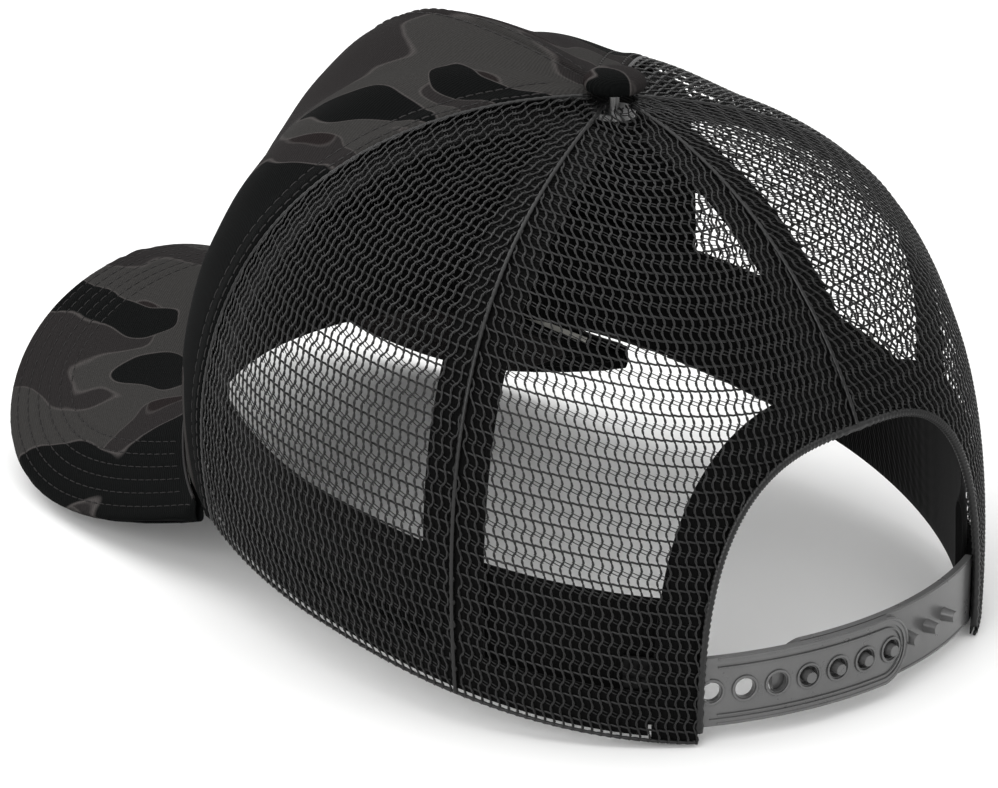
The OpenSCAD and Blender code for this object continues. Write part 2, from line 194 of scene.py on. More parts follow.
def brim_face(u, v):
    """Upper face of the brim: u from -1 at the right to 1 at the left, v from the crown to the edge."""
    u, v = np.broadcast_arrays(np.asarray(u, float), np.asarray(v, float))
    end_x, end_y, _ = rim(BRIM_END, -ROOT_GAP)
    rx, ry, rz = rim(u * BRIM_END, -ROOT_GAP)
    a = np.radians(90 * u)
    ex = (end_x + END_WIDTH) * signed_power(np.sin(a), 2 / SIDE_POWER)
    ey = end_y - (HALF_LENGTH + BRIM_LENGTH + end_y) * np.abs(np.cos(a)) ** (2 / FRONT_POWER)
    rise = ROOT_RISE[0] + (ROOT_RISE[1] - ROOT_RISE[0]) * smooth((np.abs(u) - 0.55) / 0.4)
    x, y = rx * (1 - v) + ex * v, ry * (1 - v) + ey * v
    miss = rz + rise - brim_height(rx, ry)
    return np.stack([x, y, brim_height(x, y) + miss * (1 - v) ** 2], -1)


def brim_normal(x, y):
    level = np.sqrt(BEND_RADIUS**2 - x * x)
    reach = -(y + HALF_LENGTH) / GAIN_LENGTH
    across = x / level * (1 + BEND_GAIN * reach) / math.cos(BRIM_TILT)
    along = math.tan(BRIM_TILT) + (BEND_RADIUS - level) * BEND_GAIN / GAIN_LENGTH / math.cos(BRIM_TILT)
    n = np.stack([across, -along, np.ones_like(x)], -1)
    return n / np.linalg.norm(n, axis=-1, keepdims=True)


def brim_at(u, v, out):
    p = brim_face(u, v)
    return p + brim_normal(p[..., 0], p[..., 1]) * np.asarray(out)[..., None]


# ---- Meshes ----

def make_piece(name, points, quads, material, body="crown", flat=None, sharp=None):
    """Mesh piece from points in millimetres and four-sided faces, turned so that its faces look outward."""
    p = np.asarray(points, float)
    q = np.asarray(quads, int)
    a, b, c, d = (p[q[:, i]] for i in range(4))
    volume = (a * np.cross(b, c)).sum() + (a * np.cross(c, d)).sum()
    if volume < 0:
        q = q[:, ::-1]
    mesh = bpy.data.meshes.new(name)
    mesh.vertices.add(len(p))
    mesh.vertices.foreach_set("co", (p * MM).astype(np.float32).ravel())
    mesh.loops.add(q.size)
    mesh.loops.foreach_set("vertex_index", q.ravel().astype(np.int32))
    mesh.polygons.add(len(q))
    mesh.polygons.foreach_set("loop_start", np.arange(0, q.size, 4, dtype=np.int32))
    mesh.polygons.foreach_set("use_smooth", np.ones(len(q), bool))
    if flat is not None:
        layer = mesh.uv_layers.new(name="cloth")
        layer.data.foreach_set("uv", (np.asarray(flat, float)[q.ravel()] * MM).astype(np.float32).ravel())
    mesh.update(calc_edges=True)
    mesh.validate()
    mesh.materials.append(material)
    piece = bpy.data.objects.new(name, mesh)
    bpy.context.scene.collection.objects.link(piece)
    if sharp is not None:
        mesh.set_sharp_from_angle(angle=math.radians(sharp))
    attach(piece, body)
    return piece


def shell_quads(rows, cols):
    """Faces of a closed shell between two grids of rows by cols points, stored one after the other."""
    i, j = (g.ravel() for g in np.meshgrid(np.arange(rows - 1), np.arange(cols - 1), indexing="ij"))

    def at(r, c):
        return r * cols + c

    n = rows * cols
    outer = np.stack([at(i, j), at(i, j + 1), at(i + 1, j + 1), at(i + 1, j)], 1)
    inner = np.stack([at(i, j), at(i + 1, j), at(i + 1, j + 1), at(i, j + 1)], 1) + n
    c, r = np.arange(cols - 1), np.arange(rows - 1)
    sides = [
        np.stack([at(0, c), n + at(0, c), n + at(0, c + 1), at(0, c + 1)], 1),
        np.stack([at(rows - 1, c), at(rows - 1, c + 1), n + at(rows - 1, c + 1), n + at(rows - 1, c)], 1),
        np.stack([at(r, 0), at(r + 1, 0), n + at(r + 1, 0), n + at(r, 0)], 1),
        np.stack([at(r, cols - 1), n + at(r, cols - 1), n + at(r + 1, cols - 1), at(r + 1, cols - 1)], 1),
    ]
    return np.concatenate([outer, inner, *sides])


def shell(name, outer, inner, material, flat=None, body="crown", sharp=None):
    rows, cols = outer.shape[:2]
    points = np.concatenate([outer.reshape(-1, 3), inner.reshape(-1, 3)])
    uv = None if flat is None else np.concatenate([flat.reshape(-1, 2)] * 2)
    return make_piece(name, points, shell_quads(rows, cols), material, body, uv, sharp)


def tubes(paths, side_radius, out_radius, sides=4):
    """Rings round every path of (x, y, out) points, with closed ends. Returns points and quads."""
    turn = 2 * np.pi * (np.arange(sides) + 0.5) / sides
    points, quads, base = [], [], 0
    for path in paths:
        path = np.asarray(path, float)
        along = np.gradient(path, axis=0)
        along /= np.maximum(np.linalg.norm(along, axis=1, keepdims=True), 1e-9)
        side = np.stack([along[:, 1], -along[:, 0], np.zeros(len(path))], 1)
        side /= np.maximum(np.linalg.norm(side, axis=1, keepdims=True), 1e-6)
        up = np.cross(side, along)
        ring = (
            path[:, None, :]
            + side[:, None, :] * (side_radius * np.cos(turn))[None, :, None]
            + up[:, None, :] * (out_radius * np.sin(turn))[None, :, None]
        )
        n = len(path)
        points.append(ring.reshape(-1, 3))
        i, j = (g.ravel() for g in np.meshgrid(np.arange(n - 1), np.arange(sides), indexing="ij"))
        k = (j + 1) % sides
        ring_faces = [i * sides + j, i * sides + k, (i + 1) * sides + k, (i + 1) * sides + j]
        quads.append(base + np.stack(ring_faces, 1))
        last = base + (n - 1) * sides
        for m in range(0, sides - 2, 2):
            quads.append(np.array([[base, base + m + 3, base + m + 2, base + m + 1]]))
            quads.append(np.array([[last, last + m + 1, last + m + 2, last + m + 3]]))
        base += n * sides
    return np.concatenate(points), np.concatenate(quads)


def runs(inside):
    """Start and stop of each unbroken run of True values that is at least three long."""
    edges = np.flatnonzero(np.diff(np.concatenate([[0], inside.astype(int), [0]])))
    return [(a, b) for a, b in zip(edges[::2], edges[1::2]) if b - a >= 3]


def stitch_paths(line, length=2.5, gap=0.7, lift=0.12, dip=0.12):
    """Short threads along a line of (x, y) points, each one rising out of the cloth and dipping back."""
    line = np.asarray(line, float)
    s = np.concatenate([[0], np.cumsum(np.linalg.norm(np.diff(line, axis=0), axis=1))])
    made, start = [], gap / 2
    while start + length < s[-1]:
        f = np.linspace(0, 1, 6)
        d = start + f * length
        made.append(np.stack([
            np.interp(d, s, line[:, 0]), np.interp(d, s, line[:, 1]), lift * np.sin(np.pi * f) - dip
        ], 1))
        start += length + gap
    return made


# ---- Materials ----

def linear(level):
    """Linear value of a display level from 0 to 255."""
    c = level / 255
    return c / 12.92 if c <= 0.04045 else ((c + 0.055) / 1.055) ** 2.4


def grey(r, g=None, b=None):
    g, b = (r if g is None else g), (r if b is None else b)
    return (linear(r), linear(g), linear(b), 1.0)


class Paint:
    """A Principled material with short ways to add and join nodes."""

    def __init__(self, name, colour, roughness, specular=0.5, sheen=0.0, metallic=0.0):
        self.material = bpy.data.materials.new(name)
        self.material.use_nodes = True
        self.tree = self.material.node_tree
        self.bsdf = self.tree.nodes["Principled BSDF"]
        values = {
            "Base Color": colour, "Roughness": roughness, "Specular IOR Level": specular,
            "Sheen Weight": sheen, "Metallic": metallic,
        }
        for key, value in values.items():
            self.bsdf.inputs[key].default_value = value
        if sheen:
            self.bsdf.inputs["Sheen Roughness"].default_value = 0.4

    def node(self, kind, settings=None, **inputs):
        made = self.tree.nodes.new("ShaderNode" + kind)
        for key, value in (settings or {}).items():
            setattr(made, key, value)
        for key, value in inputs.items():
            place = int(key[2:]) if key.startswith("i_") else key.replace("_", " ")
            self.feed(made.inputs[place], value)
        return made

    def feed(self, socket, value):
        if isinstance(value, bpy.types.NodeSocket):
            self.tree.links.new(value, socket)
        elif isinstance(value, bpy.types.Node):
            self.tree.links.new(value.outputs[0], socket)
        else:
            socket.default_value = value

    def math(self, operation, a, b=0.0, c=None, clamp=False):
        made = self.node("Math", {"operation": operation, "use_clamp": clamp}, i_0=a, i_1=b)
        if c is not None:
            self.feed(made.inputs[2], c)
        return made

    def mix(self, factor, a, b):
        made = self.node("Mix", {"data_type": "RGBA"})
        self.feed(made.inputs[0], factor)
        self.feed(made.inputs[6], a)
        self.feed(made.inputs[7], b)
        return made.outputs[2]

    def noise(self, vector, scale, detail=2.0, roughness=0.5):
        made = self.node("TexNoise", Vector=vector, Scale=scale, Detail=detail, Roughness=roughness)
        return made.outputs[0]

    def bump(self, height, distance, strength=1.0):
        made = self.node("Bump", Height=height, Distance=distance, Strength=strength)
        self.feed(self.bsdf.inputs["Normal"], made)
        return made

    def cloth(self):
        return self.node("UVMap", {"uv_map": "cloth"}).outputs[0]

    def place(self):
        return self.node("TexCoord").outputs["Object"]

    def ribs(self, vector, pitch, angle):
        """Height between -1 and 1 of straight ribs a pitch apart, at an angle in the cloth's plane."""
        parts = self.node("SeparateXYZ", Vector=vector)
        a = math.radians(angle)
        x = self.math("MULTIPLY", parts.outputs[0], 2 * math.pi * math.cos(a) / pitch)
        both = self.math("MULTIPLY_ADD", parts.outputs[1], 2 * math.pi * math.sin(a) / pitch, x.outputs[0])
        return self.math("SINE", both)


def camo_twill():
    """Dark printed twill: long organic patches with fine pale outlines over a diagonal weave."""
    paint = Paint("camo_twill", grey(34, 33, 33), 0.95, specular=0.05)
    cloth = paint.cloth()
    turned = paint.node("Mapping", Vector=cloth, Rotation=(0, 0, math.radians(-24)), Scale=(52, 27, 1))
    wander = paint.node("TexNoise", Vector=turned, Scale=1.1, Detail=1.0)
    bent = paint.node(
        "VectorMath", {"operation": "MULTIPLY_ADD"},
        i_0=wander.outputs[1], i_1=(0.9, 0.9, 0.9), i_2=turned,
    )

    def field(offset, scale):
        moved = paint.node("VectorMath", {"operation": "ADD"}, i_0=bent, i_1=offset)
        return paint.noise(moved, scale, 1.2, 0.35)

    colour = grey(35, 33, 33)
    layers = [
        ((3.1, 7.7, 1.3), 0.62, 0.50, grey(28, 24, 24), 0.45),
        ((9.4, 2.2, 4.6), 0.60, 0.565, grey(48, 47, 46), 0.7),
        ((5.9, 5.1, 8.8), 0.70, 0.54, grey(8, 9, 9), 0.9),
    ]
    for offset, scale, level, shade, line in layers:
        value = field(offset, scale)
        inside = paint.math("MULTIPLY_ADD", paint.math("SUBTRACT", value, level), 260.0, 0.5, clamp=True)
        colour = paint.mix(inside, colour, shade)
        away = paint.math("ABSOLUTE", paint.math("SUBTRACT", value, level))
        edge = paint.math("MULTIPLY_ADD", away, -150.0, 1.0, clamp=True)
        colour = paint.mix(paint.math("MULTIPLY", edge, line), colour, grey(70, 67, 66))
    twill = paint.ribs(cloth, 0.00062, 58)
    yarn = paint.ribs(cloth, 0.00042, -20)
    fuzz = paint.noise(cloth, 1400.0, 2.0)
    tone = paint.math("MULTIPLY_ADD", twill, 0.10, paint.math("MULTIPLY_ADD", fuzz, 0.5, 0.72))
    shaded = paint.node("VectorMath", {"operation": "SCALE"}, i_0=colour, i_3=tone)
    paint.feed(paint.bsdf.inputs["Base Color"], shaded)
    height = paint.math("MULTIPLY_ADD", yarn, 0.3, paint.math("ADD", twill, fuzz))
    paint.bump(height, 0.00006, 0.8)
    return paint.material


def knit_yarn():
    """Glossy black knitting yarn with fine filaments."""
    paint = Paint("knit_yarn", grey(6), 0.34, specular=0.4)
    place = paint.place()
    grain = paint.noise(place, 2600.0, 3.0, 0.6)
    broad = paint.noise(place, 160.0, 2.0)
    tone = paint.math("MULTIPLY_ADD", broad, 0.9, 0.4)
    shaded = paint.node("VectorMath", {"operation": "SCALE"}, i_0=grey(6, 6, 6)[:3], i_3=tone)
    paint.feed(paint.bsdf.inputs["Base Color"], shaded)
    paint.feed(paint.bsdf.inputs["Roughness"], paint.math("MULTIPLY_ADD", broad, 0.3, 0.22))
    paint.bump(grain, 0.00008, 0.7)
    return paint.material


def woven(name, level, pitch=0.0007, tilt=0.0, roughness=0.9, sheen=0.05):
    """Plain dark woven or knitted cloth without a flat cut, for tapes, bands and linings."""
    paint = Paint(name, grey(level), roughness, specular=0.12, sheen=sheen)
    place = paint.place()
    ribs = paint.ribs(place, pitch, 35 + tilt)
    cross = paint.ribs(place, pitch * 1.3, 125 + tilt)
    fuzz = paint.noise(place, 900.0, 3.0)
    tone = paint.math("MULTIPLY_ADD", fuzz, 0.7, 0.65)
    shaded = paint.node("VectorMath", {"operation": "SCALE"}, i_0=grey(level)[:3], i_3=tone)
    paint.feed(paint.bsdf.inputs["Base Color"], shaded)
    paint.bump(paint.math("ADD", paint.math("ADD", ribs, cross), fuzz), 0.00008, 0.7)
    return paint.material


def satin_plastic(name, level, gloss=0.9):
    """Black moulded plastic with a fine satin texture and faint scuffs. A level above black adds painted
    sheen to the base colour.
    """
    paint = Paint(name, grey(level), 0.3, specular=gloss)
    place = paint.place()
    grain = paint.noise(place, 2200.0, 2.0)
    scuff = paint.noise(place, 120.0, 4.0, 0.65)
    tone = paint.math("MULTIPLY_ADD", scuff, 0.7, 0.65)
    shaded = paint.node("VectorMath", {"operation": "SCALE"}, i_0=grey(level)[:3], i_3=tone)
    paint.feed(paint.bsdf.inputs["Base Color"], shaded)
    paint.feed(paint.bsdf.inputs["Roughness"], paint.math("MULTIPLY_ADD", scuff, 0.25, 0.18))
    paint.bump(grain, 0.00003, 0.6)
    return paint.material


def brushed_metal():
    paint = Paint("button_metal", grey(150), 0.35, metallic=1.0)
    scratch = paint.noise(paint.place(), 700.0, 4.0, 0.7)
    paint.feed(paint.bsdf.inputs["Roughness"], paint.math("MULTIPLY_ADD", scratch, 0.3, 0.22))
    paint.bump(scratch, 0.00002, 0.5)
    return paint.material


def pressed_board():
    paint = Paint("brim_board", grey(205, 203, 196), 0.8, specular=0.2)
    grain = paint.noise(paint.place(), 500.0, 4.0, 0.6)
    tone = paint.math("MULTIPLY_ADD", grain, 0.3, 0.8)
    shaded = paint.node("VectorMath", {"operation": "SCALE"}, i_0=grey(205, 203, 196)[:3], i_3=tone)
    paint.feed(paint.bsdf.inputs["Base Color"], shaded)
    paint.bump(grain, 0.00005, 0.5)
    return paint.material


def sewing_thread():
    paint = Paint("sewing_thread", grey(24, 22, 22), 0.6, specular=0.2)
    grain = paint.noise(paint.place(), 3000.0, 2.0)
    tone = paint.math("MULTIPLY_ADD", grain, 0.8, 0.5)
    shaded = paint.node("VectorMath", {"operation": "SCALE"}, i_0=grey(24, 22, 22)[:3], i_3=tone)
    paint.feed(paint.bsdf.inputs["Base Color"], shaded)
    paint.bump(grain, 0.00005, 0.8)
    return paint.material


CAMO = camo_twill()
YARN = knit_yarn()
TAPE = woven("seam_tape", 4, 0.0008)
JERSEY = woven("sweatband_jersey", 5, 0.0006, 20)
FOAM = woven("foam_backing", 6, 0.0011, 10, roughness=0.95)
# The straps are black plastic. Their base colour is lifted to grey level 72 as painted sheen, which stands
# in for the reflections on the satin face.
PLASTIC_PAINTED_SHEEN = satin_plastic("satin_plastic", 72)
TAB_PLASTIC = satin_plastic("satin_plastic_tab", 5, 0.1)
METAL = brushed_metal()
BOARD_CARD = pressed_board()
THREAD = sewing_thread()

# ---- Crown cloth ----

FRONT = Panel(-FRONT_SEAM, FRONT_SEAM, 0.0)
LEFT_SIDE = Panel(FRONT_SEAM, SIDE_SEAM, 87.0)
LEFT_BACK = Panel(SIDE_SEAM, 180.0, 145.5)
RIGHT_SIDE = Panel(-SIDE_SEAM, -FRONT_SEAM, -87.0)
RIGHT_BACK = Panel(-180.0, -SIDE_SEAM, -145.5)

DART_START, DART_FULL = 66.0, 84.0


def front_relief(theta, height, x):
    """Outward offset of the front panel's face: dart, turned edges and soft waves."""
    edge = np.minimum(FRONT.across(FRONT_SEAM, height) - x, x - FRONT.across(-FRONT_SEAM, height))
    dart = smooth((height - DART_START) / (DART_FULL - DART_START))
    relief = -0.95 * dart * np.exp(-((x / 0.7) ** 2))
    relief += 0.38 * dart * np.exp(-(((np.abs(x) - 2.0) / 1.5) ** 2))
    relief += 0.45 * np.exp(-(((edge - 2.6) / 2.2) ** 2)) - 0.7 * np.exp(-((edge / 0.8) ** 2))
    relief -= 0.16 * np.exp(-(((edge - 1.6) / 0.45) ** 2)) + 0.16 * np.exp(-(((edge - 6.4) / 0.45) ** 2))
    waves = 0.16 * np.sin(x * 0.12 + height * 0.05) * np.sin(height * 0.09 + 1.0)
    waves += 0.07 * np.sin(x * 0.31 - height * 0.17 + 2.0)
    return relief + waves - 0.15


def make_front_panel():
    reach = FRONT_SEAM - 0.15
    spread = np.linspace(-1, 1, 221)
    theta = (reach * (0.72 * spread + 0.28 * np.sin(np.pi * spread / 2)))[:, None]
    share = np.linspace(0, 1, 171)[None, :]
    height = share * (meridian_length(theta) - TOP_GAP)
    theta = np.broadcast_to(theta, height.shape)
    x = FRONT.across(theta, height)
    out = front_relief(theta, height, x)
    piece = shell(
        "front_panel_cloth", skin(theta, height, out), skin(theta, height, out - 0.62), CAMO,
        np.stack([x, height], -1),
    )
    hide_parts("front_panel")
    return piece


def make_front_stitches():
    paths = []
    heights = np.arange(2.0, 152.0, 1.0)
    for side in (-1, 1):
        limit = FRONT.across(side * FRONT_SEAM, heights)
        for inset in (1.6, 6.4):
            x = limit - side * inset
            keep = (x * side > 3.5) & (heights < meridian_length(side * FRONT_SEAM) - TOP_GAP - 4)
            paths += stitch_paths(np.stack([x, heights], 1)[keep])
        dart = np.arange(DART_START + 4, MERIDIAN[0] - 9, 1.0)
        paths += stitch_paths(np.stack([np.full(len(dart), side * 2.1), dart], 1))
    points, quads = tubes(paths, 0.2, 0.16, 4)
    theta = FRONT.angle(points[:, 0], points[:, 1])
    out = points[:, 2] + front_relief(theta, points[:, 1], points[:, 0]) + 0.06
    piece = make_piece("front_topstitching", skin(theta, points[:, 1], out), quads, THREAD)
    return piece


def crown_strip(name, start, stop, low, high, depths, material, rows=24, cols=60, soft=0.0):
    """Closed strip of the crown between two angles and two heights, between two depths."""
    theta = np.linspace(start, stop, cols)[:, None]
    share = np.linspace(0, 1, rows)[None, :]
    low, high = (f(theta) if callable(f) else np.full_like(theta, f) for f in (low, high))
    height = low + (high - low) * share
    theta = np.broadcast_to(theta, height.shape)
    pinch = soft * (1 - np.sin(np.pi * np.clip(share, 0.0, 1.0)) ** 0.35)
    outer = skin(theta, height, -depths[0] - pinch + 0 * height)
    inner = skin(theta, height, -depths[1] + pinch + 0 * height)
    return shell(name, outer, inner, material, sharp=50)


def seam_strip(name, angle, low, high, depths, width, material):
    """Strip of fixed width along a seam. It narrows only where it nears the button."""
    height = np.linspace(low, high, 60)[None, :]
    p = on_crown(np.full_like(height, angle), height)
    reach = np.hypot(p[..., 0], p[..., 1] - BUTTON_BACK)
    half = np.minimum(np.degrees(width / 2 / reach), 28)
    across = np.linspace(-1, 1, 9)[:, None]
    theta, height = angle + across * half, np.broadcast_to(height, (9, 60))
    curl = 0.12 * np.cos(np.pi * across) + 0 * height
    outer = skin(theta, height, -depths[0] - 0.1 - curl)
    inner = skin(theta, height, -depths[1] + 0.05 - curl)
    return shell(name, outer, inner, material, sharp=50)


def opening_turn(turn, grow=0.0):
    """Angle and height of the opening's edge; turn 0 is the left foot and 180 the right foot."""
    half = np.where(turn < 90, OPENING_LEFT, OPENING_RIGHT) + grow / 1.65
    a = np.radians(turn)
    return (
        180 - half * signed_power(np.cos(a), 2 / OPENING_POWER),
        (OPENING_HEIGHT + grow) * np.sin(a) ** (2 / OPENING_POWER),
    )


def make_inner_layers():
    foam = crown_strip(
        "front_panel_foam", -(FRONT_SEAM - 3), FRONT_SEAM - 3, 1.5,
        lambda a: meridian_length(a) - TOP_GAP - 6, (1.25, 2.7), FOAM, rows=60, cols=70,
    )
    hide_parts("front_backing")
    tapes = [
        ("dart_tape", "dart_tape_cloth", 0.0, 38.0, (3.0, 3.6)),
        ("front_tape_left", "front_tape_left_cloth", FRONT_SEAM + 1, 1.5, (3.0, 3.6)),
        ("front_tape_right", "front_tape_right_cloth", -FRONT_SEAM - 1, 1.5, (3.0, 3.6)),
        ("side_tape_left", "side_tape_left_cloth", SIDE_SEAM, HEM_HEIGHT + 0.5, (1.3, 1.9)),
        ("side_tape_right", "side_tape_right_cloth", -SIDE_SEAM, HEM_HEIGHT + 0.5, (1.3, 1.9)),
        ("back_tape", "back_tape_cloth", 180.0, OPENING_HEIGHT + BINDING_WIDTH + 0.5, (1.3, 1.9)),
    ]
    for node, name, angle, low, depths in tapes:
        high = float(meridian_length(angle)) - TOP_GAP - 8
        tape = seam_strip(name, angle, low, high, depths, TAPE_WIDTH, TAPE)
        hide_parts(node)
    band = crown_strip(
        "sweatband_jersey", -(180 - OPENING_RIGHT - 1.5), 180 - OPENING_LEFT - 1.5, 2.0, SWEATBAND_HEIGHT,
        (4.4, 6.2), JERSEY, rows=20, cols=150, soft=0.7,
    )
    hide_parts("sweatband")
    for node, side, gap in (("mesh_hem_left", 1, OPENING_LEFT), ("mesh_hem_right", -1, OPENING_RIGHT)):
        start, stop = FRONT_SEAM + 4, 180 - gap - BINDING_WIDTH / 1.65 - 0.5
        hem = crown_strip(
            node + "_fold", side * start, side * stop, HEM_FOOT, HEM_HEIGHT + HEM_EXTRA,
            (1.35, 1.85), TAPE, rows=8, cols=70,
        )
        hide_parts(node)


def make_binding():
    turn = np.linspace(0, 180, 181)[:, None]
    share = np.linspace(0, 1, 9)[None, :]
    a0, h0 = opening_turn(turn, 0.2)
    a1, h1 = opening_turn(turn, BINDING_WIDTH)
    theta, height = a0 + (a1 - a0) * share, np.maximum(h0 + (h1 - h0) * share, 0.4)
    curl = 0.25 * (1 - np.sin(np.pi * share) ** 0.4) + 0 * height
    piece = shell(
        "opening_binding_cloth",
        skin(theta, height, -1.4 - 0.3 * curl), skin(theta, height, -1.95 + 0.6 * curl),
        TAPE, sharp=50,
    )
    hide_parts("opening_binding")


# ---- Knitted mesh ----

WALE, ROW = 2.15, 5.6


def wale_shift(y):
    """Sideways path of a wale: a short slanted stroke in one band and a slow return in the next."""
    f = np.mod(y + 1.0, ROW)
    stroke = -0.48 + 0.96 * smooth(f / 2.0)
    back = 0.48 - 0.96 * smooth((f - 2.0) / (ROW - 2.0))
    return np.where(f < 2.0, stroke, back)


def mesh_paths(panel, inside, top, step=0.56):
    """Paths of every yarn of a panel. inside tests an angle and a height; top is the greatest height."""
    wales, solid, fine = [], [], []
    y = np.arange(0.1, top, step)
    for k in range(-30, 31):
        x = k * WALE + wale_shift(y)
        keep = inside(panel.angle(x, y), y)
        for a, b in runs(keep):
            for ply in (0, np.pi):
                swing = 2 * np.pi * y[a:b] / 2.8 + ply
                wales.append(np.stack([
                    x[a:b] + 0.16 * np.cos(swing), y[a:b], -0.36 + 0.12 * np.sin(swing)
                ], 1))
    xs = np.arange(-64, 64, WALE / 2)
    for row in np.arange(0, top / ROW + 1):
        middle = row * ROW + 2.8
        y_solid = middle + 0.1 * np.sin(2 * np.pi * xs / WALE)
        keep = inside(panel.angle(xs, y_solid), y_solid)
        for a, b in runs(keep):
            wave = 0.1 * np.cos(2 * np.pi * xs[a:b] / WALE)
            solid.append(np.stack([xs[a:b], y_solid[a:b], -0.86 + wave], 1))
        for k in range(-30, 31):
            for lift in (0.42, -0.42):
                f = np.linspace(0, 1, 4)
                x = k * WALE + f * WALE
                yf = row * ROW + lift + 0.36 - 0.72 * f
                if yf.min() > 0.2 and inside(panel.angle(x, yf), yf).all():
                    fine.append(np.stack([x, yf, -0.7 + 0.1 * np.sin(np.pi * f)], 1))
    return wales, solid, fine


def side_region(start, stop):
    low, high = min(start, stop) + 0.2, max(start, stop) - 0.2
    return lambda a, h: (a > low) & (a < high) & (h < meridian_length(a) - TOP_GAP)


def back_region(side):
    half = OPENING_LEFT if side > 0 else OPENING_RIGHT

    def inside(a, h):
        away = 180 - np.abs(a)
        free = (away / half) ** OPENING_POWER + (h / OPENING_HEIGHT) ** OPENING_POWER > 1.0
        return (np.abs(a) > SIDE_SEAM + 0.2) & (away > 0.2) & free & (h < meridian_length(a) - TOP_GAP)

    return inside


def make_mesh_panel(name, node, panel, inside):
    wales, solid, fine = mesh_paths(panel, inside, 172.0)
    parts = [tubes(wales, 0.2, 0.18), tubes(solid, 0.32, 0.14), tubes(fine, 0.13, 0.12)]
    points, quads, base = [], [], 0
    for p, q in parts:
        points.append(p)
        quads.append(q + base)
        base += len(p)
    piece = make_piece(name, panel.place(np.concatenate(points)), np.concatenate(quads), YARN)
    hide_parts(node)
    return piece


def edge_roll(name, theta, height, out, radius):
    """Round rolled edge that follows a line on the crown."""
    centre = skin(theta, height, out)
    along = np.gradient(centre, axis=0)
    along /= np.linalg.norm(along, axis=1, keepdims=True)
    away = skin(theta, height, out + 1.0) - centre
    side = np.cross(along, away)
    side /= np.linalg.norm(side, axis=1, keepdims=True)
    turn = 2 * np.pi * np.arange(8) / 8
    s = np.arange(len(theta))
    swell = 1 + 0.16 * np.sin(s * 2.1)[:, None]
    ring = centre[:, None, :] + radius * swell[..., None] * (
        side[:, None, :] * np.cos(turn)[None, :, None] + away[:, None, :] * np.sin(turn)[None, :, None]
    )
    n = len(centre)
    i, j = (g.ravel() for g in np.meshgrid(np.arange(n - 1), np.arange(8), indexing="ij"))
    k = (j + 1) % 8
    quads = [np.stack([i * 8 + j, i * 8 + k, (i + 1) * 8 + k, (i + 1) * 8 + j], 1)]
    last = (n - 1) * 8
    for m in (0, 2, 4):
        quads.append(np.array([[0, m + 3, m + 2, m + 1]]))
        quads.append(np.array([[last, last + m + 1, last + m + 2, last + m + 3]]))
    piece = make_piece(name, ring.reshape(-1, 3), np.concatenate(quads), YARN)
    return piece


def make_mesh():
    left, right = side_region(FRONT_SEAM, SIDE_SEAM), side_region(-FRONT_SEAM, -SIDE_SEAM)
    side_flat, side_area, back_flat = (0.085, 0.160), 0.01025, (0.110, 0.170)
    panels = [
        ("side_mesh_left_knit", "side_mesh_left", LEFT_SIDE, left, side_flat, side_area),
        ("side_mesh_right_knit", "side_mesh_right", RIGHT_SIDE, right, side_flat, side_area),
        ("back_mesh_left_knit", "back_mesh_left", LEFT_BACK, back_region(1), back_flat, 0.0097),
        ("back_mesh_right_knit", "back_mesh_right", RIGHT_BACK, back_region(-1), back_flat, 0.0101),
    ]
    for name, node, panel, inside, flat, area in panels:
        make_mesh_panel(name, node, panel, inside)
    for side, label in ((1, "left"), (-1, "right")):
        height = np.arange(0.5, float(meridian_length(SIDE_SEAM)) - TOP_GAP, 0.7)
        edge_roll(f"side_seam_{label}", np.full(len(height), side * SIDE_SEAM), height, -0.5, 0.55)
        height = np.arange(0.5, float(meridian_length(FRONT_SEAM)) - TOP_GAP, 0.7)
        edge_roll(f"front_seam_{label}", np.full(len(height), side * (FRONT_SEAM + 0.35)), height, -0.5, 0.5)
        gap = OPENING_LEFT if side > 0 else OPENING_RIGHT
        angles = np.arange(FRONT_SEAM + 0.4, 180 - gap, 0.45)
        edge_roll(f"hem_edge_{label}", side * angles, np.full(len(angles), 0.35), -0.7, 0.42)
    height = np.arange(OPENING_HEIGHT, float(meridian_length(180)) - TOP_GAP, 0.7)
    edge_roll("back_seam", np.full(len(height), 180.0), height, -0.5, 0.55)
    theta, height = opening_turn(np.linspace(0.5, 179.5, 420))
    edge_roll("opening_edge", theta, np.maximum(height, 0.4), -0.9, 0.95)


# ---- Brim ----

BRIM_ROWS = (3.2, 6.6, 10.0, 13.4, 16.8, 20.2)


def brim_flat(u, v):
    """Flat cloth coordinates of the brim: across and towards the front."""
    p = brim_face(u, v)
    return np.stack([BEND_RADIUS * np.arcsin(p[..., 0] / BEND_RADIUS), -p[..., 1] * 1.02], -1)


def brim_edge_distance(u, v):
    """Distance of brim points from the outer edge."""
    edge = brim_face(np.linspace(-1, 1, 700), np.ones(700))
    p = brim_face(u, v)
    flat = p.reshape(-1, 3)
    best = np.full(len(flat), 1e9)
    for chunk in np.array_split(np.arange(len(flat)), 40):
        d = np.linalg.norm(flat[chunk, None, :] - edge[None, :, :], axis=2)
        best[chunk] = d.min(axis=1)
    return best.reshape(p.shape[:-1])


def brim_grid():
    k = np.linspace(-1, 1, 221)
    u = signed_power(k, 1.55)[:, None]
    v = (1 - (1 - np.linspace(0, 1, 90)) ** 1.35)[None, :]
    return np.broadcast_arrays(u, v)


def brim_roll(distance, reach=1.9, drop=1.45):
    """How far a cover turns towards the middle of the brim's thickness near its outer edge."""
    f = np.clip(1 - distance / reach, 0, 1)
    return drop * (1 - np.sqrt(1 - f * f * 0.98))


